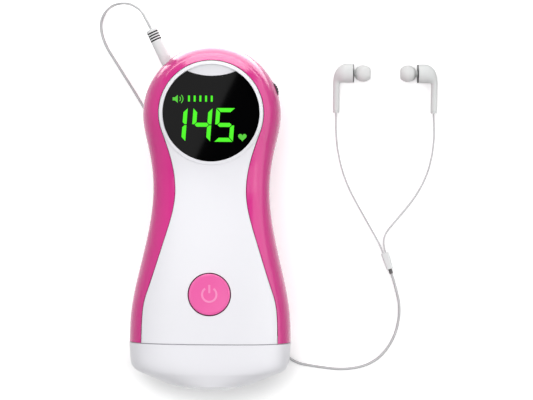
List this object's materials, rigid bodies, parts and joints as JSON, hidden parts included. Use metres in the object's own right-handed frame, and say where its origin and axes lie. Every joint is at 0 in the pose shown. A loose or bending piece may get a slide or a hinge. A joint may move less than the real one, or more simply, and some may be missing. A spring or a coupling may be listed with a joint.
{
  "type": "fetal doppler monitor",
  "caption": "Hand-held heartbeat monitor with round display head, waisted grip, power button, thumbwheel, domed probe base and plugged-in earphones.",
  "frame": {"origin": "centre of the monitor's outline on the surface that its back rests on", "axes": "+Y runs along the monitor towards the display head, +Z out of the front face, +X to the right"},
  "size_m": [0.1519, 0.1711, 0.0425],
  "materials": {
    "white_shell": "glossy moulded plastic",
    "pink_shell": "glossy pearl pink plastic",
    "pink_button": "satin pink plastic",
    "window": "black gloss window",
    "lit_segment": "lit green segment",
    "module": "dark plastic",
    "board": "green circuit board",
    "screw": "steel",
    "dark_plastic": "dark plastic",
    "nickel": "plated metal",
    "plug_white": "white plastic",
    "cell": "battery sleeve",
    "spring_steel": "plated spring steel",
    "cone": "speaker cone",
    "gasket": "grey rubber",
    "lens": "pale lens plastic",
    "crystal": "piezo ceramic",
    "backing": "damping rubber",
    "cord": "white cord jacket",
    "bud_white": "white plastic",
    "silicone": "soft translucent silicone"
  },
  "bodies": {
    "root": {"front_cover": "white_shell", "rear_cover": "white_shell", "side_frame": "pink_shell", "display_window": "window", "display_module": "module", "digit_segments": "lit_segment", "level_bars": "lit_segment", "main_board": "board", "board_screws": "screw", "housing_screws": "screw", "power_switch": "dark_plastic", "volume_potentiometer": "dark_plastic", "jack_socket": "dark_plastic", "jack_ring": "nickel", "plug_contacts": "nickel", "plug_barrel": "plug_white", "batteries": "cell", "battery_contacts": "spring_steel", "speaker": "dark_plastic", "speaker_cone": "cone", "probe_housing": "white_shell", "probe_gasket": "gasket", "acoustic_lens": "lens", "transducer_crystals": "crystal", "transducer_backing": "backing", "main_cord": "cord", "y_splitter": "plug_white", "splitter_collar": "dark_plastic", "left_branch_cord": "cord", "left_earbud_housing": "bud_white", "left_earbud_ring": "dark_plastic", "left_earbud_nozzle": "bud_white", "left_ear_tip": "silicone", "right_branch_cord": "cord", "right_earbud_housing": "bud_white", "right_earbud_ring": "dark_plastic", "right_earbud_nozzle": "bud_white", "right_ear_tip": "silicone"},
    "power_button": {"power_button": "pink_button", "switch_plunger": "dark_plastic"},
    "volume_wheel": {"volume_wheel": "dark_plastic"},
    "battery_door": {"battery_door": "white_shell"}
  },
  "joints": [
    {"name": "button_press", "type": "slide", "parent": "root", "child": "power_button", "axis": [0, 0, -1], "range_m": [0, 0.001], "stiffness_N_per_m": 1500},
    {"name": "volume_turn", "type": "hinge", "parent": "root", "child": "volume_wheel", "pos_m": [0.02374, 0.05489, 0.0224], "axis": [0, 0, 1], "range_deg": [-150, 150]},
    {"name": "door_swing", "type": "hinge", "parent": "root", "child": "battery_door", "pos_m": [0, -0.0493, 0], "axis": [-1, 0, 0], "range_deg": [0, 80]}
  ]
}
